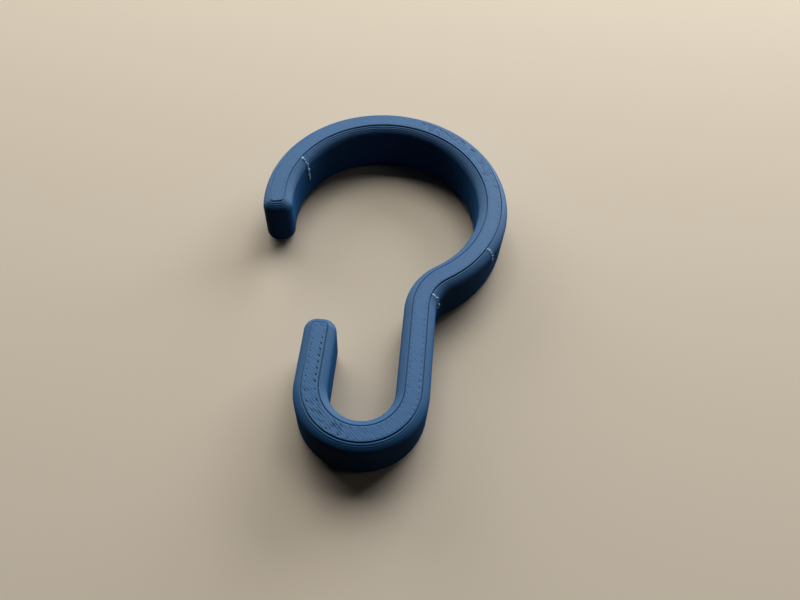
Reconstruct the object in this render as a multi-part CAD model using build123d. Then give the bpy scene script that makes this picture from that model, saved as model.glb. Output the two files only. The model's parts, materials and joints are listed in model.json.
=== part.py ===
from build123d import *
import math
import os

# An open hook that snaps onto an awning pole, with a J-shaped hook below it for hanging things.
# It is printed in one piece, lying flat: one strip of constant section, bent to a question mark.
# Millimetres, +Z up. The origin is the middle of the pole's grip, and +Z is the pole's axis.

# Driving dimensions of the strip
STRIP_WIDTH = 5.0          # across the strip, in plan
STRIP_HEIGHT = 10.0        # along the pole
EDGE_RADIUS = 2.0          # every outer edge is rounded alike, the tips' upright edges too

# Driving dimensions of the grip that snaps round the pole
POLE_RADIUS = 16.0         # a 32 mm awning pole
GRIP_TIP_ANGLE = 195.0     # where the grip ends, in degrees counter-clockwise from +X

# Driving dimensions of the neck, the shank and the lower hook
NECK_RADIUS = 7.8          # middle line of the bend from the grip into the shank
SHANK_LENGTH = 14.5        # straight part, from the neck to the bowl
BOWL_RADIUS = 4.9          # inside of the lower hook's bowl
LEG_LENGTH = 11.0          # straight part of the short leg, from the bowl to its tip

# Middle lines that follow from them. The bowl's centre lies straight below the pole's axis, so
# that what hangs in it doesn't turn the hook on the pole.
GRIP_LINE_RADIUS = POLE_RADIUS + STRIP_WIDTH / 2
BOWL_LINE_RADIUS = BOWL_RADIUS + STRIP_WIDTH / 2
BOWL_X = 0.0
SHANK_X = BOWL_X + BOWL_LINE_RADIUS
LEG_X = BOWL_X - BOWL_LINE_RADIUS

# The neck's bend lies right of the shank and touches the middle lines of the grip and the shank
NECK_X = SHANK_X + NECK_RADIUS
NECK_Y = -math.sqrt((GRIP_LINE_RADIUS + NECK_RADIUS) ** 2 - NECK_X ** 2)
NECK_ANGLE = math.degrees(math.atan2(NECK_Y, NECK_X))
BOWL_Y = NECK_Y - SHANK_LENGTH
LEG_END_Y = BOWL_Y + LEG_LENGTH


def strip_side(offset):
    """The line that runs along the strip in plan, a distance outwards from its middle line.

    It starts at the grip's tip and goes clockwise over the pole, round the neck, down the shank,
    round the bowl and up the short leg. Outwards is away from the pole and from the bowl's centre.
    """
    return [
        CenterArc((0, 0), GRIP_LINE_RADIUS + offset, GRIP_TIP_ANGLE, NECK_ANGLE - GRIP_TIP_ANGLE),
        CenterArc((NECK_X, NECK_Y), NECK_RADIUS - offset, 180 + NECK_ANGLE, -NECK_ANGLE),
        Line((SHANK_X + offset, NECK_Y), (SHANK_X + offset, BOWL_Y)),
        CenterArc((BOWL_X, BOWL_Y), BOWL_LINE_RADIUS + offset, 0, -180),
        Line((LEG_X - offset, BOWL_Y), (LEG_X - offset, LEG_END_Y)),
    ]


def strip_outline():
    """The closed outline of the strip in plan, with a straight end across each tip."""
    outer = strip_side(STRIP_WIDTH / 2)
    inner = strip_side(-STRIP_WIDTH / 2)
    grip_end = Line(inner[0] @ 0, outer[0] @ 0)
    leg_end = Line(inner[-1] @ 1, outer[-1] @ 1)
    return make_face(Wire(outer + [leg_end] + inner + [grip_end]))


def tip_edges(body):
    """The four upright edges at the corners of the two tips."""
    upright = body.edges().filter_by(Axis.Z)
    corners = []
    for offset in (-STRIP_WIDTH / 2, STRIP_WIDTH / 2):
        side = strip_side(offset)
        corners += [side[0] @ 0, side[-1] @ 1]
    return [upright.sort_by_distance(corner)[0] for corner in corners]


def build_hook():
    """The strip pulled up to its height, with all its edges rounded in one go."""
    body = extrude(strip_outline(), amount=STRIP_HEIGHT / 2, both=True)
    faces_by_height = body.faces().sort_by(Axis.Z)
    long_edges = list(faces_by_height[0].edges()) + list(faces_by_height[-1].edges())
    return fillet(long_edges + tip_edges(body), EDGE_RADIUS)


os.makedirs("parts", exist_ok=True)
hook = build_hook()
export_step(hook, "parts/hook.step")
print("volume, mm3:", round(hook.volume, 1))
print("size, mm:", [round(v, 2) for v in hook.bounding_box().size])
print("bowl's centre and leg's end, mm:", round(BOWL_Y, 3), round(LEG_END_Y, 3))
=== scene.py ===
import json
import math
from functools import partial

import bmesh
import bpy
from bpy.props import FloatProperty, FloatVectorProperty, IntProperty, PointerProperty
from mathutils import Matrix, Vector


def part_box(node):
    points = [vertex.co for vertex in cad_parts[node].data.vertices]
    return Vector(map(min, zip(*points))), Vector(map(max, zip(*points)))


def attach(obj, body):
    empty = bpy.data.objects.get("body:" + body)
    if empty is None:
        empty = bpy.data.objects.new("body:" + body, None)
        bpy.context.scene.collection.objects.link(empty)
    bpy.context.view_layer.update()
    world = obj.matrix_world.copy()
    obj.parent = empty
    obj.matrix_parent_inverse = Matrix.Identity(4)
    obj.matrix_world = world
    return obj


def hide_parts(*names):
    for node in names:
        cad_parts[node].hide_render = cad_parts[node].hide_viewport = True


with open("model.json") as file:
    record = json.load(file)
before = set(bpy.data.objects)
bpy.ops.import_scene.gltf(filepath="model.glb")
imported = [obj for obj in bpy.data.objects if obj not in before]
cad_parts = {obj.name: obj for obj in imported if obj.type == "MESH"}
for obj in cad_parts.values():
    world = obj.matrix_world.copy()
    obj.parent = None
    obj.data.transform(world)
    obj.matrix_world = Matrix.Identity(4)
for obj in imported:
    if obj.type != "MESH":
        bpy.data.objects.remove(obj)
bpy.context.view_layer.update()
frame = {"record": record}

bl_info = {
    "name": "Printed Pole Hook",
    "version": (1, 0, 0),
    "blender": (4, 5, 0),
    "location": "View3D > Sidebar > Pole Hook",
    "description": "Builds a printed hook for an awning pole from its layers, its lines and its seams",
    "category": "Object",
}

MM = 0.001
# Points nearer to each other than this are one
SAME_POINT = 0.001 * MM

# What the frame says: the hook's box, the radius of the pole and the bowl, and where the bowl is
HOOK_LOW, HOOK_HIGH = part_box("hook")
MOUNTS = {mount["name"]: mount for mount in frame["record"]["mounts"]}
POLE = MOUNTS["pole_grip"]
BOWL = MOUNTS["hanging_bowl"]


# Colours

def linear_colour(hex_colour):
    """An sRGB colour such as #344F72 as Blender's linear red, green and blue."""
    channels = []
    for start in (1, 3, 5):
        value = int(hex_colour[start:start + 2], 16) / 255
        channels.append(value / 12.92 if value <= 0.04045 else ((value + 0.055) / 1.055) ** 2.4)
    return channels


def with_alpha(colour):
    """A colour as a socket takes it, with red, green, blue and alpha."""
    return (colour[0], colour[1], colour[2], 1.0)


# Settings that a user would change

class PoleHookStrip(bpy.types.PropertyGroup):
    """Sizes of the bent strip in plan and in section"""

    width: FloatProperty(
        name="Strip Width", description="Width of the strip in plan",
        default=5.0 * MM, min=1.0 * MM, unit="LENGTH", precision=5)
    height: FloatProperty(
        name="Strip Height", description="Height of the strip along the pole",
        default=HOOK_HIGH.z - HOOK_LOW.z, min=1.0 * MM, unit="LENGTH", precision=5)
    edge_radius: FloatProperty(
        name="Edge Radius", description="Rounding of every outer edge and of the tips' corners",
        default=2.0 * MM, min=0.1 * MM, unit="LENGTH", precision=5)
    pole_radius: FloatProperty(
        name="Pole Radius", description="Inner radius of the grip, which is the pole's radius",
        default=POLE["dims"]["r_mm"] * MM, min=5.0 * MM, unit="LENGTH", precision=5)
    grip_tip_angle: FloatProperty(
        name="Grip Tip Angle", description="Where the grip ends, counter-clockwise from +X",
        default=math.radians(195.0), unit="ROTATION")
    neck_radius: FloatProperty(
        name="Neck Radius", description="Middle line of the bend from the grip into the shank",
        default=7.8 * MM, min=3.0 * MM, unit="LENGTH", precision=5)
    bowl_radius: FloatProperty(
        name="Bowl Radius", description="Inner radius of the lower hook's bowl",
        default=BOWL["dims"]["r_mm"] * MM, min=2.5 * MM, unit="LENGTH", precision=5)
    bowl_y: FloatProperty(
        name="Bowl Centre", description="Where the centre of the bowl lies along Y",
        default=BOWL["pos_m"][1], unit="LENGTH", precision=5)
    leg_length: FloatProperty(
        name="Leg Length", description="Straight part of the short leg, from the bowl to its tip",
        default=11.0 * MM, min=3.0 * MM, unit="LENGTH", precision=5)


class PoleHookPrint(bpy.types.PropertyGroup):
    """How the strip was printed: its layers, its lines and its seams"""

    layer_height: FloatProperty(
        name="Layer Height", description="Height of one printed layer",
        default=0.2 * MM, min=0.05 * MM, unit="LENGTH", precision=5)
    line_width: FloatProperty(
        name="Line Width", description="Width of one printed line",
        default=0.407 * MM, min=0.1 * MM, unit="LENGTH", precision=5)
    nose_depth: FloatProperty(
        name="Layer Nose", description="How far a layer's side bulges out between two layer seams",
        default=0.028 * MM, min=0.0, unit="LENGTH", precision=6)
    groove_depth: FloatProperty(
        name="Groove Depth", description="Depth of the groove along the edge of the last layer",
        default=0.24 * MM, min=0.0, unit="LENGTH", precision=5)
    groove_fill: FloatProperty(
        name="Groove Fill", description="How far plastic fills that groove where it has run into it",
        default=0.85, min=0.0, max=0.9, subtype="FACTOR")
    edge_fullness: FloatProperty(
        name="Edge Fullness", description="Width of a flat layer's edge line, as a share of the others",
        default=0.82, min=0.3, max=1.0, subtype="FACTOR")
    corner: FloatProperty(
        name="Line Corner", description="Rounding along both edges of a printed line",
        default=0.03 * MM, min=0.005 * MM, unit="LENGTH", precision=5)
    turn_radius: FloatProperty(
        name="Turn Radius", description="How round the nozzle's path is where a line turns back",
        default=0.07 * MM, min=0.01 * MM, unit="LENGTH", precision=5)
    raster_angle: FloatProperty(
        name="Raster Angle", description="Direction of the lines that fill a layer",
        default=math.radians(-45.0), unit="ROTATION")
    raster_place: FloatProperty(
        name="Raster Place", description="How far from the pole's axis one line of the raster passes",
        default=17.88 * MM, unit="LENGTH", precision=5)
    raster_reach: FloatProperty(
        name="Raster Reach", description="How far from the strip's middle line the lines turn back",
        default=0.86 * MM, min=0.1 * MM, unit="LENGTH", precision=5)
    pinhole_reach: FloatProperty(
        name="Pinhole Reach", description="The same on the leg's inner side, where pinholes stay open",
        default=0.66 * MM, min=0.1 * MM, unit="LENGTH", precision=5)
    pinhole_run: FloatProperty(
        name="Pinhole Run", description="How far up the leg the pinholes go, from the bowl's centre",
        default=7.0 * MM, min=0.0, unit="LENGTH", precision=5)
    small_pinhole_reach: FloatProperty(
        name="Small Pinhole Reach", description="The same on its outer side, with smaller pinholes",
        default=0.77 * MM, min=0.1 * MM, unit="LENGTH", precision=5)
    starved: FloatProperty(
        name="Starved Lines", description="How thin the short lines of the raster run in places",
        default=0.12, min=0.0, max=0.6, subtype="FACTOR")
    starved_long: FloatProperty(
        name="Starved Long Lines", description="How thin the long lines of the raster run in places",
        default=0.45, min=0.0, max=0.6, subtype="FACTOR")
    unevenness: FloatProperty(
        name="Unevenness", description="How far the printed lines and layers stray",
        default=0.012 * MM, min=0.0, unit="LENGTH", precision=6)
    blob_size: FloatProperty(
        name="Blob Size", description="Size of the largest blob that a layer's start leaves",
        default=0.85 * MM, min=0.05 * MM, unit="LENGTH", precision=5)
    blob_sunk: FloatProperty(
        name="Blob Sunk", description="How far inside the side the middle of such a blob lies",
        default=0.19 * MM, min=0.0, unit="LENGTH", precision=5)
    seed: IntProperty(
        name="Seed", description="Chooses the random unevenness", default=7, min=0)


class PoleHookFinish(bpy.types.PropertyGroup):
    """Colours and gloss of the printed plastic"""

    plastic: FloatVectorProperty(
        name="Plastic", description="Colour of the printed plastic",
        default=linear_colour("#2A6096"), subtype="COLOR", min=0.0, max=1.0)
    plastic_deep: FloatVectorProperty(
        name="Deep Plastic", description="Colour of the slightly darker streaks along the layers",
        default=linear_colour("#255684"), subtype="COLOR", min=0.0, max=1.0)
    # Pale seam colour: partly real stress whitening, partly painted highlight where the blobs catch
    # light
    seam_white_and_highlight: FloatVectorProperty(
        name="Seam White and Highlight", description="Colour of the seam blobs, partly whitening and partly painted highlight",
        default=linear_colour("#A9C0DE"), subtype="COLOR", min=0.0, max=1.0)
    roughness: FloatProperty(
        name="Roughness", description="Roughness of the satin surface",
        default=0.5, min=0.0, max=1.0, subtype="FACTOR")


class PoleHookStage(bpy.types.PropertyGroup):
    """The floor, the lamps and the camera"""

    floor: FloatVectorProperty(
        name="Floor", description="Colour of the pale floor",
        default=linear_colour("#E0C8B4"), subtype="COLOR", min=0.0, max=1.0)
    backdrop: FloatVectorProperty(
        name="Backdrop", description="Colour behind the floor, close to the lit floor's",
        default=linear_colour("#D2C7B4"), subtype="COLOR", min=0.0, max=1.0)
    camera_azimuth: FloatProperty(
        name="Camera Azimuth", description="Turn of the camera round the hook. At 0 it looks along +Y",
        default=math.radians(1.150), unit="ROTATION")
    camera_elevation: FloatProperty(
        name="Camera Elevation", description="Angle of the camera above the floor",
        default=math.radians(56.682), unit="ROTATION")
    camera_roll: FloatProperty(
        name="Camera Roll", description="Turn of the camera about its own line of sight",
        default=math.radians(4.567), unit="ROTATION")
    camera_distance: FloatProperty(
        name="Camera Distance", description="Distance of the camera from the point that it looks at",
        default=116.95 * MM, unit="LENGTH", precision=5)
    focal_length: FloatProperty(
        name="Focal Length", description="Focal length on a 36 mm wide sensor, in millimetres",
        default=30.74, min=5.0, max=300.0)


# The strip in plan

# How far apart the outline's points lie on the grip, on the bends, on the tips' corners and on
# the straight parts
GRIP_STEP = math.radians(3.0)
BEND_STEP = math.radians(5.0)
CORNER_STEP = math.radians(11.25)
STRAIGHT_STEP = 1.2 * MM


def strip_places(strip):
    """The centres, the middle lines' radii and the angles that follow from the strip's sizes."""
    grip = strip.pole_radius + strip.width / 2
    bowl = strip.bowl_radius + strip.width / 2
    neck_x = bowl + strip.neck_radius
    neck_y = -math.sqrt((grip + strip.neck_radius) ** 2 - neck_x ** 2)
    return {
        "grip": grip,
        "bowl": bowl,
        "neck_centre": Vector((neck_x, neck_y)),
        "neck_angle": math.atan2(neck_y, neck_x),
        "bowl_centre": Vector((0.0, strip.bowl_y)),
        "leg_end_y": strip.bowl_y + strip.leg_length,
    }


def direction(angle):
    """The direction at an angle from +X, counter-clockwise."""
    return Vector((math.cos(angle), math.sin(angle)))


def arc(centre, radius, start, end, step, side=1):
    """Points on an arc, each with the direction that points away from the strip on that side."""
    count = max(2, math.ceil(abs(end - start) / step))
    angles = [start + (end - start) * i / count for i in range(count + 1)]
    return [(centre + radius * direction(a), side * direction(a)) for a in angles]


def straight(start, end, out):
    """Points on a straight run, each with the same direction away from the strip."""
    count = max(1, math.ceil((end - start).length / STRAIGHT_STEP))
    return [(start.lerp(end, i / count), out) for i in range(count + 1)]


def strip_side(strip, side):
    """One side of the strip in plan, from the grip's rounded tip to the short leg's.

    Side is 1 for the side away from the pole and the bowl, and -1 for the side that faces them.
    """
    place = strip_places(strip)
    half = side * strip.width / 2
    radius = strip.edge_radius
    tip = strip.grip_tip_angle - math.asin(radius / (place["grip"] + half - side * radius))
    neck_x, neck_y = place["neck_centre"]
    turn = place["neck_angle"]
    out = Vector((side, 0.0))
    shank_x = place["bowl"] + half
    leg_end = place["leg_end_y"] - radius
    neck = strip.neck_radius - half
    runs = arc(Vector((0.0, 0.0)), place["grip"] + half, tip, turn, GRIP_STEP, side)
    runs += arc(place["neck_centre"], neck, math.pi + turn, math.pi, BEND_STEP, -side)
    runs += straight(Vector((shank_x, neck_y)), Vector((shank_x, strip.bowl_y)), out)
    runs += arc(place["bowl_centre"], place["bowl"] + half, 0.0, -math.pi, BEND_STEP, side)
    runs += straight(Vector((-shank_x, strip.bowl_y)), Vector((-shank_x, leg_end)), -out)
    return runs


def strip_outline(strip):
    """The closed outline of the strip in plan as points with their outward directions."""
    place = strip_places(strip)
    radius = strip.edge_radius
    tip = strip.grip_tip_angle
    quarter = math.pi / 2
    loop = strip_side(strip, 1)
    for side, start, end in ((1, 2 * quarter, quarter), (-1, quarter, 0.0)):
        x = -place["bowl"] - side * (strip.width / 2 - radius)
        centre = Vector((x, place["leg_end_y"] - radius))
        loop += arc(centre, radius, start, end, CORNER_STEP)
    loop += strip_side(strip, -1)[::-1]
    for side in (-1, 1):
        distance = place["grip"] + side * (strip.width / 2 - radius)
        turned = math.asin(radius / distance)
        centre = distance * direction(tip - turned)
        start = tip - turned + math.pi if side < 0 else tip + quarter
        end = tip + quarter if side < 0 else tip - turned
        loop += arc(centre, radius, start, end, CORNER_STEP)
    kept = [loop[0]]
    for point, out in loop[1:]:
        if (point - kept[-1][0]).length > SAME_POINT:
            kept.append((point, out))
    if (kept[0][0] - kept[-1][0]).length < SAME_POINT:
        kept.pop()
    return kept


def inset_loop(outline, inset):
    """The outline moved inwards by a distance."""
    return [point - inset * out for point, out in outline]


def layer_inset(strip, height):
    """How far the rounded edges pull the outline in at a height above the strip's middle."""
    past = max(0.0, abs(height) - (strip.height / 2 - strip.edge_radius))
    return strip.edge_radius - math.sqrt(max(0.0, strip.edge_radius ** 2 - past ** 2))


# The lines that fill a layer

# How many line widths a path may go along the loop to its next line
LONGEST_TURN = 3
# On the straight parts, the direction away from the strip has at least this much of X in it
STRAIGHT = 0.999


def line_spacing(laid):
    """Lines with round sides overlap, so they are laid closer than they are wide."""
    return laid.line_width - laid.layer_height * (1 - math.pi / 4)


def crossings(loop, along, across, place):
    """Where a line of the raster crosses a closed loop: (place on the line, on the loop, point)."""
    found = []
    for i, start in enumerate(loop):
        end = loop[(i + 1) % len(loop)]
        a = start.dot(across) - place
        b = end.dot(across) - place
        if (a < 0) != (b < 0):
            share = a / (a - b)
            point = start.lerp(end, share)
            found.append((point.dot(along), i + share, point))
    return sorted(found, key=lambda item: item[0])


def raster_paths(loop, angle, place, spacing, longest_turn):
    """The zigzag paths that fill a closed loop with lines at an angle.

    Even lines turn into the next line at their far end, and odd lines at their near end, as long
    as the way along the loop is short. Where it is longer, the path ends and another begins.
    """
    along = direction(angle)
    across = Vector((-along.y, along.x))
    heights = [point.dot(across) for point in loop]
    lengths = [0.0]
    for i, point in enumerate(loop):
        lengths.append(lengths[-1] + (loop[(i + 1) % len(loop)] - point).length)

    def on_loop(spot):
        i = int(spot)
        return lengths[i] + (spot - i) * (lengths[i + 1] - lengths[i])

    def way(a, b):
        distance = abs(on_loop(a) - on_loop(b))
        return min(distance, lengths[-1] - distance)

    first = math.ceil((min(heights) - place) / spacing)
    last = math.floor((max(heights) - place) / spacing)
    paths = []
    open_paths = []
    for k in range(first, last + 1):
        hits = crossings(loop, along, across, place + k * spacing)
        segments = list(zip(hits[::2], hits[1::2]))
        still_open = []
        for segment in segments:
            near, far = segment if k % 2 == 0 else segment[::-1]
            joined = None
            for path in open_paths:
                if way(path["end"], near[1]) < longest_turn:
                    joined = path
                    break
            if joined:
                open_paths.remove(joined)
            else:
                joined = {"points": []}
                paths.append(joined)
            joined["points"] += [near[2], far[2]]
            joined["end"] = far[1]
            still_open.append(joined)
        open_paths = still_open
    return [path["points"] for path in paths]


# Meshes

def line_object(name, lines):
    """A curve object with one straight-edged line for each (points, closed)."""
    curve = bpy.data.curves.new(name, "CURVE")
    curve.dimensions = "3D"
    for points, closed in lines:
        spline = curve.splines.new("POLY")
        spline.points.add(len(points) - 1)
        for knot, point in zip(spline.points, points):
            knot.co = (point.x, point.y, 0.0, 1.0)
        spline.use_cyclic_u = closed
    made = bpy.data.objects.new(name, curve)
    bpy.context.scene.collection.objects.link(made)
    return made


def grown(source, name, make_tree, sizes):
    """The plain mesh object that a Geometry Nodes tree makes from a source, which then goes."""
    tree = make_tree(sizes)
    modifier = source.modifiers.new(tree.name, "NODES")
    modifier.node_group = tree
    for item in tree.interface.items_tree:
        if item.in_out == "INPUT" and item.name in sizes:
            modifier[item.identifier] = sizes[item.name]
    evaluated = source.evaluated_get(bpy.context.evaluated_depsgraph_get())
    mesh = bpy.data.meshes.new_from_object(evaluated)
    mesh.name = name
    source.modifiers.remove(modifier)
    data = source.data
    bpy.data.objects.remove(source)
    if isinstance(data, bpy.types.Curve):
        bpy.data.curves.remove(data)
    else:
        bpy.data.meshes.remove(data)
    made = bpy.data.objects.new(name, mesh)
    bpy.context.scene.collection.objects.link(made)
    return made


def in_frame(piece, *nodes):
    """Ties a piece to the hook's body and hides the given parts of the model."""
    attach(piece, "root")
    if nodes:
        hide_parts(*nodes)


# Nodes

MATH = "ShaderNodeMath"


def add_node(tree, kind, inputs=(), **settings):
    """Adds a node with its settings and its links.

    Inputs are given by name or in their order. A socket is linked, a node is linked by its first
    output in use, a list of them is linked one by one, and anything else is the input's value.
    """
    node = tree.nodes.new(kind)
    for name, value in settings.items():
        setattr(node, name, value)
    entries = inputs.items() if isinstance(inputs, dict) else enumerate(inputs)
    for key, entry in entries:
        for value in entry if isinstance(entry, list) else [entry]:
            if isinstance(value, bpy.types.Node):
                value = next(output for output in value.outputs if not output.is_unavailable)
            if isinstance(value, bpy.types.NodeSocket):
                tree.links.new(value, node.inputs[key])
            else:
                node.inputs[key].default_value = value
    return node


# The kind of socket that takes each kind of value
SOCKETS = {
    int: "NodeSocketInt",
    float: "NodeSocketFloat",
    tuple: "NodeSocketVector",
    bpy.types.Material: "NodeSocketMaterial",
}


def new_tree(name, sizes):
    """A Geometry Nodes tree with an input for each of its named sizes.

    With it come the sockets of its inputs and the function that adds a node to it.
    """
    tree = bpy.data.node_groups.new(name, "GeometryNodeTree")
    face = tree.interface
    face.new_socket("Geometry", in_out="INPUT", socket_type="NodeSocketGeometry")
    for label, size in sizes.items():
        socket = face.new_socket(label, in_out="INPUT", socket_type=SOCKETS[type(size)])
        socket.default_value = size
    face.new_socket("Geometry", in_out="OUTPUT", socket_type="NodeSocketGeometry")
    add = partial(add_node, tree)
    return tree, add("NodeGroupInput").outputs, add


def finish_tree(add, geometry, material):
    """Ends a tree in Realize Instances and Set Material."""
    real = add("GeometryNodeRealizeInstances", {"Geometry": geometry})
    painted = add("GeometryNodeSetMaterial", {"Geometry": real, "Material": material})
    add("NodeGroupOutput", {"Geometry": painted})


# The side of each layer in section, from its lower edge up. Each step has its share of the layer's
# height, how far in it lies as a share of the nose's depth, and the share of the height at which
# the rounded edge is read, which gives the ledges of the upper layers their crowns.
LAYER_STEPS = ((0.05, 1.0, 0.5), (0.3, 0.12, 0.5), (0.7, 0.12, 0.52), (0.94, 1.0, 0.68))
# The top of the stack in section: a shoulder, the groove along the last layer's edge, the strip
# that the edge line lies on, and the hollow under the raster. Each step has its share of the
# groove's depth and its distance inwards from the last layer's edge.
GROOVE_STEPS = ((0.02, -0.21 * MM), (0.1, -0.17 * MM), (0.4, -0.15 * MM), (1.0, -0.14 * MM),
                (1.0, 0.03 * MM), (0.02, 0.05 * MM), (0.02, 0.34 * MM), (0.9, 0.42 * MM))
# A layer stands back from the side by this share of the unevenness, from least to most
LAYER_WANDER = (0.5, 1.0)
# Where plastic has run into the groove: half the width of the change from open to filled, beside
# the leg's middle line and along Y from the leg's start, and how near the leg's tip it is open
# and then filled
FILL_BESIDE = 0.5 * MM
FILL_ALONG = 3.0 * MM
FILL_NEAR_TIP = (2.6 * MM, 2.0 * MM)
# Points of the section this near to the groove's floor in height lie on it
FLOOR_TOLERANCE = 0.002 * MM


def layered_side_tree(sizes):
    """A closed skin of stacked layers inside a closed outline, with rounded long edges.

    The upper half of the section is a line of points, four for each layer, that is swept along
    the outline. The lower half is its mirror image.
    """
    tree, given, add = new_tree("Layered Side", sizes)
    steps = float(len(LAYER_STEPS))

    # One point of the section for each step of each layer, and more for the groove
    index = add("GeometryNodeInputIndex")
    layers_up = add(MATH, (index, steps), operation="DIVIDE")
    layer = add(MATH, (layers_up,), operation="FLOOR")
    first_point = add(MATH, (layer, steps), operation="MULTIPLY")
    step = add(MATH, (index, first_point), operation="SUBTRACT")
    layer_points = add(MATH, (given["Layers"], steps), operation="MULTIPLY")
    groove_step = add(MATH, (index, layer_points), operation="SUBTRACT")
    past_layers = add("FunctionNodeCompare", {"A": index, "B": layer_points},
                      data_type="FLOAT", operation="GREATER_EQUAL")
    straight_part = add(MATH, (given["Half Height"], given["Edge Radius"]), operation="SUBTRACT")
    radius_squared = add(MATH, (given["Edge Radius"], 2.0), operation="POWER")

    def rounded_inset(height):
        """How far the rounded edge has come in at a height."""
        past = add(MATH, (height, straight_part), operation="SUBTRACT")
        past = add(MATH, (past, 0.0), operation="MAXIMUM")
        past_squared = add(MATH, (past, 2.0), operation="POWER")
        left = add(MATH, (radius_squared, past_squared), operation="SUBTRACT")
        left = add(MATH, (left,), operation="SQRT")
        return add(MATH, (given["Edge Radius"], left), operation="SUBTRACT")

    def height_of(share):
        """The height of a share of this layer."""
        layers_below = add(MATH, (layer, share), operation="ADD")
        return add(MATH, (layers_below, given["Layer Height"]), operation="MULTIPLY")

    def from_steps(table, column, row):
        """The value in one column of a table of steps, for the row that each point has."""
        values = add("GeometryNodeIndexSwitch", data_type="FLOAT")
        while len(values.index_switch_items) < len(table):
            values.index_switch_items.new()
        tree.links.new(row.outputs[0], values.inputs[0])
        for value, entry in zip(values.inputs[1:], table):
            value.default_value = entry[column]
        return values

    layer_z = height_of(from_steps(LAYER_STEPS, 0, step))
    stepped = rounded_inset(height_of(from_steps(LAYER_STEPS, 2, step)))
    least, most = LAYER_WANDER
    wander = add("FunctionNodeRandomValue", {"Min": least, "Max": most, "ID": layer,
                                             "Seed": given["Seed"]}, data_type="FLOAT")
    wander = add(MATH, (wander, given["Unevenness"]), operation="MULTIPLY")
    nose = add(MATH, (from_steps(LAYER_STEPS, 1, step), given["Nose Depth"]), operation="MULTIPLY")
    layer_x = add(MATH, (stepped, nose), operation="ADD")
    layer_x = add(MATH, (layer_x, wander), operation="ADD")

    groove_top = add(MATH, (given["Layers"], given["Layer Height"]), operation="MULTIPLY")
    last_middle = add(MATH, (given["Layers"], 0.5), operation="ADD")
    last_middle = add(MATH, (last_middle, given["Layer Height"]), operation="MULTIPLY")
    groove_x = add(MATH, (rounded_inset(last_middle), from_steps(GROOVE_STEPS, 1, groove_step)),
                   operation="ADD")
    down = add(MATH, (from_steps(GROOVE_STEPS, 0, groove_step), given["Groove Depth"]),
               operation="MULTIPLY")
    groove_z = add(MATH, (groove_top, down), operation="SUBTRACT")

    x, z = [add("GeometryNodeSwitch", {"Switch": past_layers, "False": below, "True": above},
                input_type="FLOAT") for below, above in ((layer_x, groove_x), (layer_z, groove_z))]
    # A sweep's section has its own Y pointing down, so the height is turned over
    turned_over = add(MATH, (z, -1.0), operation="MULTIPLY")
    spot = add("ShaderNodeCombineXYZ", {"X": x, "Y": turned_over})
    count = add(MATH, (layer_points, float(len(GROOVE_STEPS))), operation="ADD")
    points = add("GeometryNodeMeshLine", {"Count": count}, mode="OFFSET")
    placed = add("GeometryNodeSetPosition", {"Geometry": points, "Position": spot})
    section = add("GeometryNodeMeshToCurve", {"Mesh": placed})
    upright = add("GeometryNodeSetCurveNormal", {"Curve": given["Geometry"]}, mode="Z_UP")
    skin = add("GeometryNodeCurveToMesh", {"Curve": upright, "Profile Curve": section})

    # The groove's floor rises where plastic has run into it: left of the leg's middle line, on the
    # leg and on the grip, and round the leg's tip
    here = add("GeometryNodeInputPosition")
    height = add("ShaderNodeSeparateXYZ", {"Vector": here}).outputs["Z"]
    floor_z = add(MATH, (groove_top, given["Groove Depth"]), operation="SUBTRACT")
    on_floor = add("FunctionNodeCompare", {"A": height, "B": floor_z, "Epsilon": FLOOR_TOLERANCE},
                   data_type="FLOAT", operation="EQUAL")
    from_start = add("ShaderNodeVectorMath", (here, given["Leg Start"]), operation="SUBTRACT")
    from_start = add("ShaderNodeSeparateXYZ", {"Vector": from_start}).outputs
    from_tip = add("ShaderNodeVectorMath", (here, given["Leg Tip"]), operation="DISTANCE")
    open_at, filled_at = FILL_NEAR_TIP
    leftwards, upwards, at_tip = [
        add("ShaderNodeMapRange", {"Value": value, "From Min": low, "From Max": high})
        for value, low, high in ((from_start["X"], FILL_BESIDE, -FILL_BESIDE),
                                 (from_start["Y"], -FILL_ALONG, FILL_ALONG),
                                 (from_tip, open_at, filled_at))]
    beside = add(MATH, (leftwards, upwards), operation="MULTIPLY")
    filled = add(MATH, (beside, at_tip), operation="MAXIMUM")
    full_rise = add(MATH, (given["Groove Fill"], given["Groove Depth"]), operation="MULTIPLY")
    rise = add("ShaderNodeCombineXYZ", {"Z": add(MATH, (filled, full_rise), operation="MULTIPLY")})
    upper = add("GeometryNodeSetPosition", {"Geometry": skin, "Selection": on_floor, "Offset": rise})
    lower = add("GeometryNodeTransform", {"Geometry": upper, "Scale": (1.0, 1.0, -1.0)})
    lower = add("GeometryNodeFlipFaces", {"Mesh": lower})
    both = add("GeometryNodeJoinGeometry", {"Geometry": [upper, lower]})
    finish_tree(add, both, given["Material"])
    return tree


# How the flow of plastic changes along a line: the length of a change, and how far apart the flows
# of two lines lie in the noise
FLOW_LENGTH = 0.9 * MM
FLOW_APART = 7.3
# The noise at which a line begins to run thin, and at which it is thinnest
FLOW_THIN = (0.45, 0.68)
# Shares of the long run's length at which a run counts as short and as long
RUN_SHARES = (0.8, 1.2)
# Changes of a line's height in a metre, which is one in 1.1 mm
WANDER_SCALE = 900.0
# A raster line as long as this lies along the strip, and those lines run thinnest
LONG_RUN = 3.4 * MM
# Raster lines are cut into pieces of this length, so that their thickness can change
PIECE_LENGTH = 0.25 * MM


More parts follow.
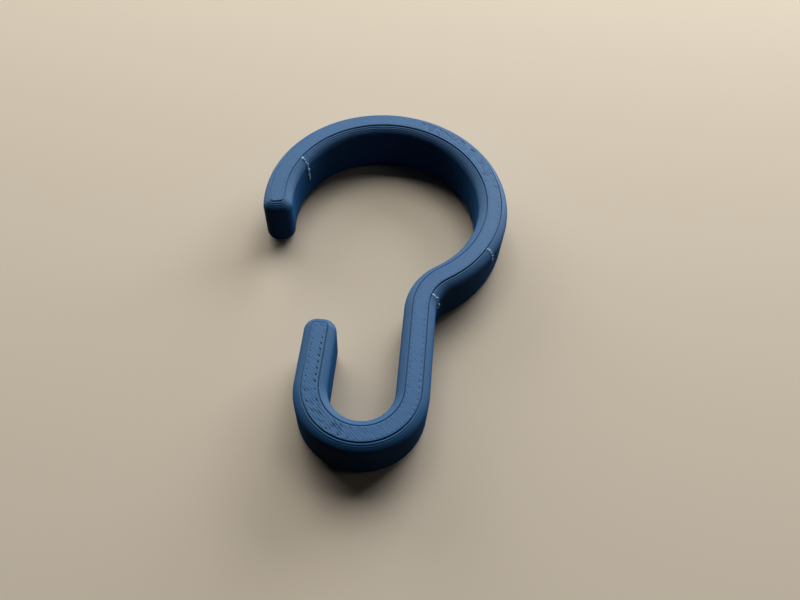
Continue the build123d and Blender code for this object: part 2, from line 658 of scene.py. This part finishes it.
def laid_line_tree(sizes):
    """Printed lines with flat tops and rounded edges along the paths of a curve object."""
    tree, given, add = new_tree("Laid Line", sizes)
    # The nozzle rounds the turns of the open zigzag paths, and the closed path is smooth already
    is_closed = add("GeometryNodeInputSplineCyclic")
    kinds = add("GeometryNodeSeparateGeometry",
                {"Geometry": given["Geometry"], "Selection": is_closed}, domain="CURVE")
    closed_path, zigzags = kinds.outputs
    turned = add("GeometryNodeFilletCurve", {"Curve": zigzags, "Radius": given["Turn Radius"],
                                             "Count": 3, "Limit Radius": True}, mode="POLY")
    # Each straight run is cut into short pieces, and the plastic runs thin on some of them. It does
    # so most on the long runs, which lie along the strip.
    so_far = add("GeometryNodeSplineParameter").outputs["Length"]
    index = add("GeometryNodeInputIndex")

    def way_at(step):
        """How far along its path the point lies that is some steps further on."""
        other = add(MATH, (index, step), operation="ADD")
        return add("GeometryNodeFieldAtIndex", {"Index": other, "Value": so_far}, data_type="FLOAT")

    run = add(MATH, (way_at(1.0), so_far), operation="SUBTRACT")
    run_before = add(MATH, (so_far, way_at(-1.0)), operation="SUBTRACT")
    longest = add(MATH, (run, run_before), operation="MAXIMUM")
    kept = add("GeometryNodeCaptureAttribute", {"Geometry": turned})
    for name, value in (("Run", longest), ("Place", index)):
        kept.capture_items.new("FLOAT", name)
        tree.links.new(value.outputs[0], kept.inputs[name])
    pieces = add(MATH, (run, given["Piece Length"]), operation="DIVIDE")
    cuts = add(MATH, (pieces,), operation="FLOOR")
    cut = add("GeometryNodeSubdivideCurve", {"Curve": kept, "Cuts": cuts})
    share = add(MATH, (kept.outputs["Run"], given["Long Run"]), operation="DIVIDE")
    short_at, long_at = RUN_SHARES
    is_long = add("ShaderNodeMapRange", {"Value": share, "From Min": short_at, "From Max": long_at})
    most = add("ShaderNodeMix", {"Factor": is_long, "A": given["Starved"],
                                 "B": given["Starved Long"]}, data_type="FLOAT")
    # The flow changes along each run by itself
    line_number = add(MATH, (kept.outputs["Place"],), operation="FLOOR")
    flow_along = add(MATH, (so_far, FLOW_LENGTH), operation="DIVIDE")
    flow_across = add(MATH, (line_number, FLOW_APART), operation="MULTIPLY")
    flow_place = add("ShaderNodeCombineXYZ", {"X": flow_along, "Y": flow_across})
    flow = add("ShaderNodeTexNoise", {"Vector": flow_place, "Scale": 1.0, "Detail": 1.0})
    full_at, thin_at = FLOW_THIN
    thin = add("ShaderNodeMapRange", {"Value": flow, "From Min": full_at, "From Max": thin_at})
    missing = add(MATH, (thin, most), operation="MULTIPLY")
    fullness = add(MATH, (1.0, missing), operation="SUBTRACT")
    thinned = add("GeometryNodeSetCurveRadius", {"Curve": cut, "Radius": fullness})
    edge_line = add("GeometryNodeSetCurveRadius",
                    {"Curve": closed_path, "Radius": given["Edge Fullness"]})
    paths = add("GeometryNodeJoinGeometry", {"Geometry": [edge_line, thinned]})

    # A line wanders a little up and down, and never above the layer's flat top
    grain = add("ShaderNodeTexNoise", {"Scale": WANDER_SCALE, "Detail": 1.0})
    wander = add(MATH, (grain, given["Unevenness"]), operation="MULTIPLY")
    inwards = add(MATH, (given["Outward"], -1.0), operation="MULTIPLY")
    sunk = add(MATH, (wander, inwards), operation="MULTIPLY")
    height = add(MATH, (given["Middle Height"], sunk), operation="ADD")
    lift = add("ShaderNodeCombineXYZ", {"Z": height})
    lifted = add("GeometryNodeSetPosition", {"Geometry": paths, "Offset": lift})
    upright = add("GeometryNodeSetCurveNormal", {"Curve": lifted}, mode="Z_UP")
    box = add("GeometryNodeCurvePrimitiveQuadrilateral",
              {"Width": given["Line Width"], "Height": given["Layer Height"]}, mode="RECTANGLE")
    section = add("GeometryNodeFilletCurve", {"Curve": box, "Radius": given["Corner"],
                                              "Count": 3, "Limit Radius": True}, mode="POLY")
    swept = add("GeometryNodeCurveToMesh",
                {"Curve": upright, "Profile Curve": section,
                 "Scale": add("GeometryNodeInputRadius"), "Fill Caps": True})
    finish_tree(add, swept, given["Material"])
    return tree


# How unevenly a seam's blobs come out, each from least to most in X, Y and Z: their share of the
# blob's size, their turn in radians and their shift
BLOB_SHARE = ((0.45, 0.45, 0.25), (1.0, 1.0, 0.45))
BLOB_TURN = ((-0.3, -0.3, 0.0), (0.3, 0.3, math.tau))
BLOB_SHIFT = ((-0.07 * MM, -0.07 * MM, -0.02 * MM), (0.07 * MM, 0.07 * MM, 0.02 * MM))


def seam_blob_tree(sizes):
    """A small blob of plastic on each point, of uneven size and turned at random."""
    tree, given, add = new_tree("Seam Blobs", sizes)
    radius = add(MATH, (given["Blob Size"], 0.5), operation="MULTIPLY")
    blob = add("GeometryNodeMeshIcoSphere", {"Radius": radius, "Subdivisions": 2})
    smooth = add("GeometryNodeSetShadeSmooth", {"Geometry": blob})
    share, turn, shift = [
        add("FunctionNodeRandomValue", {"Min": least, "Max": most, "Seed": given["Seed"]},
            data_type="FLOAT_VECTOR") for least, most in (BLOB_SHARE, BLOB_TURN, BLOB_SHIFT)]
    strewn = add("GeometryNodeSetPosition", {"Geometry": given["Geometry"], "Offset": shift})
    placed = add("GeometryNodeInstanceOnPoints", {"Points": strewn, "Instance": smooth,
                                                  "Rotation": turn, "Scale": share})
    finish_tree(add, placed, given["Material"])
    return tree


# Materials

PLA_IOR = 1.46
# The share of its colour that the floor throws back onto the hook
FLOOR_BOUNCE = 0.08


def the_material(name, fill, colours):
    """The material of that name. It is made, and filled with nodes, when it is first asked for."""
    material = bpy.data.materials.get(name)
    if not material:
        material = bpy.data.materials.new(name)
        material.use_nodes = True
        material.node_tree.nodes.clear()
        fill(partial(add_node, material.node_tree), colours)
    return material


def printed_pla(add, finish):
    """PLA, extruded hot and laid in 0.2 mm layers.

    It sets with a satin skin. Each layer has cooled a little differently, so faint darker streaks
    run along the layers, and the skin has a fine grain that changes its gloss.
    """
    place = add("ShaderNodeTexCoord").outputs["Object"]
    # Streaks are 0.2 mm high, as a layer, and about 12 mm long
    along_layers = add("ShaderNodeMapping", {
        "Vector": place, "Scale": (1 / (12 * MM), 1 / (12 * MM), 1 / (0.2 * MM))})
    streaks = add("ShaderNodeTexNoise", {"Vector": along_layers, "Scale": 1.0, "Detail": 2.0})
    # Skin grain of 0.05 mm wouldn't show in a render, so it is drawn at 0.25 mm
    grain = add("ShaderNodeTexNoise", {
        "Vector": place, "Scale": 1 / (0.25 * MM), "Detail": 3.0, "Roughness": 0.6})
    colour = add("ShaderNodeMix", {
        "Factor": streaks, "A": with_alpha(finish.plastic_deep),
        "B": with_alpha(finish.plastic)}, data_type="RGBA")
    gloss = add("ShaderNodeMapRange", {
        "Value": grain, "From Min": 0.3, "From Max": 0.7,
        "To Min": finish.roughness - 0.05, "To Max": finish.roughness + 0.05})
    bump = add("ShaderNodeBump", {"Height": grain, "Strength": 0.25, "Distance": 0.02 * MM})
    shader = add("ShaderNodeBsdfPrincipled", {
        "Base Color": colour, "Roughness": gloss, "Normal": bump, "IOR": PLA_IOR})
    add("ShaderNodeOutputMaterial", {"Surface": shader})


def whitened_pla_with_highlight(add, finish):
    """PLA, pulled and whitened where the nozzle starts and ends a layer.

    It is pale and a little glossier, in patches of 0.4 mm with the plain blue between them. The pale
    colour is partly this whitening and partly painted highlight, for the light that the blobs catch
    from above.
    """
    place = add("ShaderNodeTexCoord").outputs["Object"]
    patches = add("ShaderNodeTexNoise", {
        "Vector": place, "Scale": 1 / (0.4 * MM), "Detail": 2.0})
    share = add("ShaderNodeMapRange", {"Value": patches, "From Min": 0.32, "From Max": 0.55})
    # The pale patches are partly whitening and partly painted highlight
    colour = add("ShaderNodeMix", {
        "Factor": share, "A": with_alpha(finish.plastic),
        "B": with_alpha(finish.seam_white_and_highlight)}, data_type="RGBA")
    shader = add("ShaderNodeBsdfPrincipled", {
        "Base Color": colour, "Roughness": 0.35, "IOR": PLA_IOR})
    add("ShaderNodeOutputMaterial", {"Surface": shader})


def painted_board(add, stage):
    """Board, painted matt in a pale colour.

    It is seen in its full colour, and throws only a little light back onto the hook, so that the
    hook's lower sides stay dark.
    """
    thrown_back = [FLOOR_BOUNCE * channel for channel in stage.floor]
    seen = add("ShaderNodeBsdfDiffuse", {"Color": with_alpha(stage.floor)})
    cast = add("ShaderNodeBsdfDiffuse", {"Color": with_alpha(thrown_back)})
    rays = add("ShaderNodeLightPath").outputs["Is Camera Ray"]
    mix = add("ShaderNodeMixShader", (rays, cast, seen))
    add("ShaderNodeOutputMaterial", {"Surface": mix})


def plastic(finish):
    """The material of all the printed lines and layers."""
    return the_material("PLA, printed in layers, navy", printed_pla, finish)


# Operators

def hook_settings(context):
    """The settings of the strip, of its printing and of its finish."""
    scene = context.scene
    return scene.pole_hook_strip, scene.pole_hook_print, scene.pole_hook_finish


class PoleHookWalls(bpy.types.Operator):
    """Build the body of the strip as a stack of printed layers"""

    bl_idname = "pole_hook.walls"
    bl_label = "Layered Walls"
    bl_options = {"REGISTER", "UNDO"}

    def execute(self, context):
        strip, laid, finish = hook_settings(context)
        place = strip_places(strip)
        outline = strip_outline(strip)
        source = line_object("strip_outline", [(inset_loop(outline, 0.0), True)])
        piece = grown(source, "hook_walls", layered_side_tree, {
            "Layers": round(strip.height / 2 / laid.layer_height) - 1,
            "Layer Height": laid.layer_height,
            "Half Height": strip.height / 2,
            "Edge Radius": strip.edge_radius,
            "Nose Depth": laid.nose_depth,
            "Groove Depth": laid.groove_depth,
            "Groove Fill": laid.groove_fill,
            "Leg Start": (-place["bowl"], strip.bowl_y, 0.0),
            "Leg Tip": (-place["bowl"], place["leg_end_y"], strip.height / 2),
            "Unevenness": laid.unevenness,
            "Seed": laid.seed,
            "Material": plastic(finish),
        })
        lowest_step = LAYER_STEPS[0][0]
        close_shell(piece.data, lowest_step * laid.layer_height)
        in_frame(piece, "hook")
        return {"FINISHED"}


# Faces that meet at more than this angle have a crease between them, on the walls and on the lines
WALL_CREASE = math.radians(40.0)
LINE_CREASE = math.radians(50.0)


def close_shell(mesh, first_step):
    """Joins the two halves, closes the open ends and turns the faces outwards.

    Each half starts one step of the section away from half height, and its first points move there.
    """
    shell = bmesh.new()
    shell.from_mesh(mesh)
    for vert in shell.verts:
        if abs(vert.co.z) < 1.5 * first_step:
            vert.co.z = 0.0
    bmesh.ops.remove_doubles(shell, verts=shell.verts, dist=SAME_POINT)
    open_edges = [edge for edge in shell.edges if edge.is_boundary]
    lids = bmesh.ops.holes_fill(shell, edges=open_edges, sides=0)["faces"]
    bmesh.ops.triangulate(shell, faces=lids)
    bmesh.ops.recalc_face_normals(shell, faces=shell.faces)
    shell.to_mesh(mesh)
    shell.free()
    shade_smooth(mesh, WALL_CREASE)


def shade_smooth(mesh, crease):
    """Shades a mesh smooth, with creases where its faces meet at more than an angle."""
    for face in mesh.polygons:
        face.use_smooth = True
    mesh.set_sharp_from_angle(angle=crease)


def raster_room(strip, laid, outline):
    """The closed loop that the raster's lines turn back at.

    On the straight part of the leg it lies further in, which leaves rows of pinholes open.
    """
    loop = []
    for point, out in outline:
        up_the_leg = point.y - strip.bowl_y
        reach = laid.raster_reach
        if point.x < 0 and abs(out.x) > STRAIGHT and up_the_leg < laid.pinhole_run:
            reach = laid.pinhole_reach if out.x > 0 else laid.small_pinhole_reach
        loop.append(point - (strip.width / 2 - reach) * out)
    return loop


def build_flat_layer(context, name, outward, angle, place):
    """Builds the last layer, or the first one, from its edge line and its raster."""
    strip, laid, finish = hook_settings(context)
    outline = strip_outline(strip)
    middle = strip.height / 2 - laid.layer_height / 2
    edge_width = laid.edge_fullness * laid.line_width
    edge = inset_loop(outline, layer_inset(strip, middle) + edge_width / 2)
    room = raster_room(strip, laid, outline)
    longest_turn = LONGEST_TURN * laid.line_width
    paths = raster_paths(room, angle, place, line_spacing(laid), longest_turn)
    source = line_object(name + "_paths", [(edge, True)] + [(path, False) for path in paths])
    piece = grown(source, name, laid_line_tree, {
        "Line Width": laid.line_width,
        "Layer Height": laid.layer_height,
        "Corner": laid.corner,
        "Turn Radius": laid.turn_radius,
        "Middle Height": outward * middle,
        "Unevenness": laid.unevenness,
        "Outward": float(outward),
        "Edge Fullness": laid.edge_fullness,
        "Starved": laid.starved,
        "Starved Long": laid.starved_long if outward > 0 else laid.starved,
        "Long Run": LONG_RUN,
        "Piece Length": PIECE_LENGTH,
        "Material": plastic(finish),
    })
    shade_smooth(piece.data, LINE_CREASE)
    in_frame(piece)


class PoleHookTopLayer(bpy.types.Operator):
    """Build the last printed layer, with the pinholes where its lines turn back"""

    bl_idname = "pole_hook.top_layer"
    bl_label = "Top Layer"
    bl_options = {"REGISTER", "UNDO"}

    def execute(self, context):
        laid = context.scene.pole_hook_print
        build_flat_layer(context, "hook_top_layer", 1, laid.raster_angle, laid.raster_place)
        return {"FINISHED"}


class PoleHookFirstLayer(bpy.types.Operator):
    """Build the first printed layer, which lay on the print bed"""

    bl_idname = "pole_hook.first_layer"
    bl_label = "First Layer"
    bl_options = {"REGISTER", "UNDO"}

    def execute(self, context):
        laid = context.scene.pole_hook_print
        build_flat_layer(context, "hook_first_layer", -1, -laid.raster_angle, laid.raster_place)
        return {"FINISHED"}


class PoleHookSeams(bpy.types.Operator):
    """Build the blobs where the nozzle starts and ends each layer, whitened and with painted highlight
    """

    bl_idname = "pole_hook.seams"
    bl_label = "Seam Blobs"
    bl_options = {"REGISTER", "UNDO"}

    def execute(self, context):
        strip, laid, finish = hook_settings(context)
        outline = strip_outline(strip)
        layers = round(strip.height / laid.layer_height)
        mesh = bpy.data.meshes.new("seam_points")
        points = []
        for point, out, low in seam_places(strip, outline):
            for layer in range(1, layers - 1):
                height = (layer + 0.5) * laid.layer_height - strip.height / 2
                if height > low:
                    spot = point - (layer_inset(strip, height) + laid.blob_sunk) * out
                    points.append((spot.x, spot.y, height))
        mesh.from_pydata(points, [], [])
        source = bpy.data.objects.new("seam_points", mesh)
        context.scene.collection.objects.link(source)
        piece = grown(source, "seam_blobs", seam_blob_tree, {
            "Blob Size": laid.blob_size,
            "Seed": laid.seed,
            # The seam blobs' pale colour is partly painted highlight
            "Material": the_material("PLA, strained white at the seams", whitened_pla_with_highlight, finish),
        })
        in_frame(piece)
        return {"FINISHED"}


# The seams in the order of their blobs: the arc that each lies on, its direction from the arc's
# centre, and the height above which it has blobs
SEAMS = (
    ("grip_inside", 156.3, -0.2 * MM),
    ("grip_outside", -27.5, 2.2 * MM),
    ("neck", 158.5, 1.6 * MM),
)


def seam_places(strip, outline):
    """Where the layers start: points of the outline, each with its way out and its lowest height."""
    place = strip_places(strip)
    half = strip.width / 2
    middle = Vector((0.0, 0.0))
    arcs = {
        "grip_inside": (middle, strip.pole_radius),
        "grip_outside": (middle, place["grip"] + half),
        "neck": (place["neck_centre"], strip.neck_radius - half),
    }
    places = []
    for name, angle, low in SEAMS:
        centre, radius = arcs[name]
        spot = centre + radius * direction(math.radians(angle))
        point, out = min(outline, key=lambda item: (item[0] - spot).length)
        places.append((point, out, low))
    return places


class PoleHookStageSet(bpy.types.Operator):
    """Set the floor, the lamps and the camera"""

    bl_idname = "pole_hook.stage"
    bl_label = "Stage"
    bl_options = {"REGISTER", "UNDO"}

    def execute(self, context):
        scene = context.scene
        stage = scene.pole_hook_stage
        build_floor(scene, stage)
        build_world(scene, stage)
        build_lamps(scene)
        build_camera(scene, stage)
        scene.view_settings.view_transform = "Standard"
        return {"FINISHED"}


# The stage in metres: half the floor's side, the lamps' distance from the pole's axis, and the
# point of the floor that the camera looks at
FLOOR_HALF = 0.35
LAMP_DISTANCE = 0.45
LOOKED_AT = (4.02 * MM, -14.49 * MM, HOOK_LOW.z)
# The world lights the hook with a dim, slightly cold light
WORLD_COLOUR = (0.9, 0.95, 1.0, 1.0)
WORLD_STRENGTH = 0.006
# Softboxes: name, azimuth and elevation that the light comes from, width, height, watts, colour
SOFTBOXES = (
    ("window_right", 150.0, 24.0, 0.36, 0.25, 1.56, (0.86, 1.0, 1.06)),
    ("window_left", -140.0, 24.0, 0.36, 0.25, 0.85, (0.9, 1.0, 0.98)),
    ("window_top", 180.0, 60.0, 0.36, 0.25, 1.2, (0.9, 1.0, 0.98)),
    ("right_strip", 80.0, 35.0, 0.06, 0.3, 0.05, (0.9, 1.0, 0.98)),
)


def build_floor(scene, stage):
    mesh = bpy.data.meshes.new("floor")
    corners = [(x * FLOOR_HALF, y * FLOOR_HALF, HOOK_LOW.z)
               for x, y in ((-1, -1), (1, -1), (1, 1), (-1, 1))]
    mesh.from_pydata(corners, [], [(0, 1, 2, 3)])
    mesh.materials.append(the_material("Board, painted matt", painted_board, stage))
    floor = bpy.data.objects.new("floor", mesh)
    scene.collection.objects.link(floor)


def build_world(scene, stage):
    world = bpy.data.worlds.new("studio")
    scene.world = world
    world.use_nodes = True
    world.node_tree.nodes.clear()
    add = partial(add_node, world.node_tree)
    dim = add("ShaderNodeBackground", {"Color": WORLD_COLOUR, "Strength": WORLD_STRENGTH})
    pale = add("ShaderNodeBackground", {"Color": with_alpha(stage.backdrop), "Strength": 1.0})
    rays = add("ShaderNodeLightPath").outputs["Is Camera Ray"]
    mix = add("ShaderNodeMixShader", (rays, dim, pale))
    add("ShaderNodeOutputWorld", {"Surface": mix})


def build_lamps(scene):
    for name, azimuth, elevation, width, height, watts, colour in SOFTBOXES:
        lamp = bpy.data.lights.new(name, "AREA")
        lamp.shape = "RECTANGLE"
        lamp.size = width
        lamp.size_y = height
        lamp.energy = watts
        lamp.color = colour
        holder = bpy.data.objects.new(name, lamp)
        scene.collection.objects.link(holder)
        away = -line_of_sight(math.radians(azimuth), math.radians(elevation))
        holder.location = away * LAMP_DISTANCE
        holder.rotation_euler = away.to_track_quat("Z", "Y").to_euler()


def line_of_sight(azimuth, elevation):
    """The direction from an azimuth and an elevation towards the hook. At azimuth 0 it is along +Y."""
    flat = math.cos(elevation)
    return Vector((-math.sin(azimuth) * flat, math.cos(azimuth) * flat, -math.sin(elevation)))


def build_camera(scene, stage):
    lens = bpy.data.cameras.new("camera")
    lens.sensor_width = 36.0
    lens.lens = stage.focal_length
    lens.clip_start = 0.005
    lens.clip_end = 10.0
    camera = bpy.data.objects.new("camera", lens)
    scene.collection.objects.link(camera)
    forward = line_of_sight(stage.camera_azimuth, stage.camera_elevation)
    level = forward.cross(Vector((0.0, 0.0, 1.0))).normalized()
    rising = level.cross(forward)
    roll = stage.camera_roll
    right = level * math.cos(roll) + rising * math.sin(roll)
    up = rising * math.cos(roll) - level * math.sin(roll)
    place = Vector(LOOKED_AT) - forward * stage.camera_distance
    turned = Matrix((right, up, -forward)).transposed().to_4x4()
    camera.matrix_world = Matrix.Translation(place) @ turned
    scene.camera = camera


class PoleHookPanel(bpy.types.Panel):
    """Sizes, finish and steps of the printed hook"""

    bl_label = "Pole Hook"
    bl_idname = "VIEW3D_PT_pole_hook"
    bl_space_type = "VIEW_3D"
    bl_region_type = "UI"
    bl_category = "Pole Hook"

    def draw(self, context):
        layout = self.layout
        for label, group, kind in SETTINGS:
            box = layout.box()
            box.label(text=label)
            for name in kind.__annotations__:
                box.prop(getattr(context.scene, group), name)
        for step in STEPS:
            layout.operator(step.bl_idname)


SETTINGS = (
    ("Strip", "pole_hook_strip", PoleHookStrip),
    ("Print", "pole_hook_print", PoleHookPrint),
    ("Finish", "pole_hook_finish", PoleHookFinish),
    ("Stage", "pole_hook_stage", PoleHookStage),
)
STEPS = (PoleHookWalls, PoleHookTopLayer, PoleHookFirstLayer, PoleHookSeams, PoleHookStageSet)
CLASSES = tuple(kind for label, group, kind in SETTINGS) + STEPS + (PoleHookPanel,)


def register():
    for made in CLASSES:
        bpy.utils.register_class(made)
    for label, group, kind in SETTINGS:
        setattr(bpy.types.Scene, group, PointerProperty(type=kind, name=label))


def unregister():
    for label, group, kind in SETTINGS:
        delattr(bpy.types.Scene, group)
    for made in reversed(CLASSES):
        bpy.utils.unregister_class(made)


def main():
    register()
    bpy.ops.pole_hook.walls()
    bpy.ops.pole_hook.top_layer()
    bpy.ops.pole_hook.first_layer()
    bpy.ops.pole_hook.seams()
    bpy.ops.pole_hook.stage()


if __name__ == "__main__":
    main()
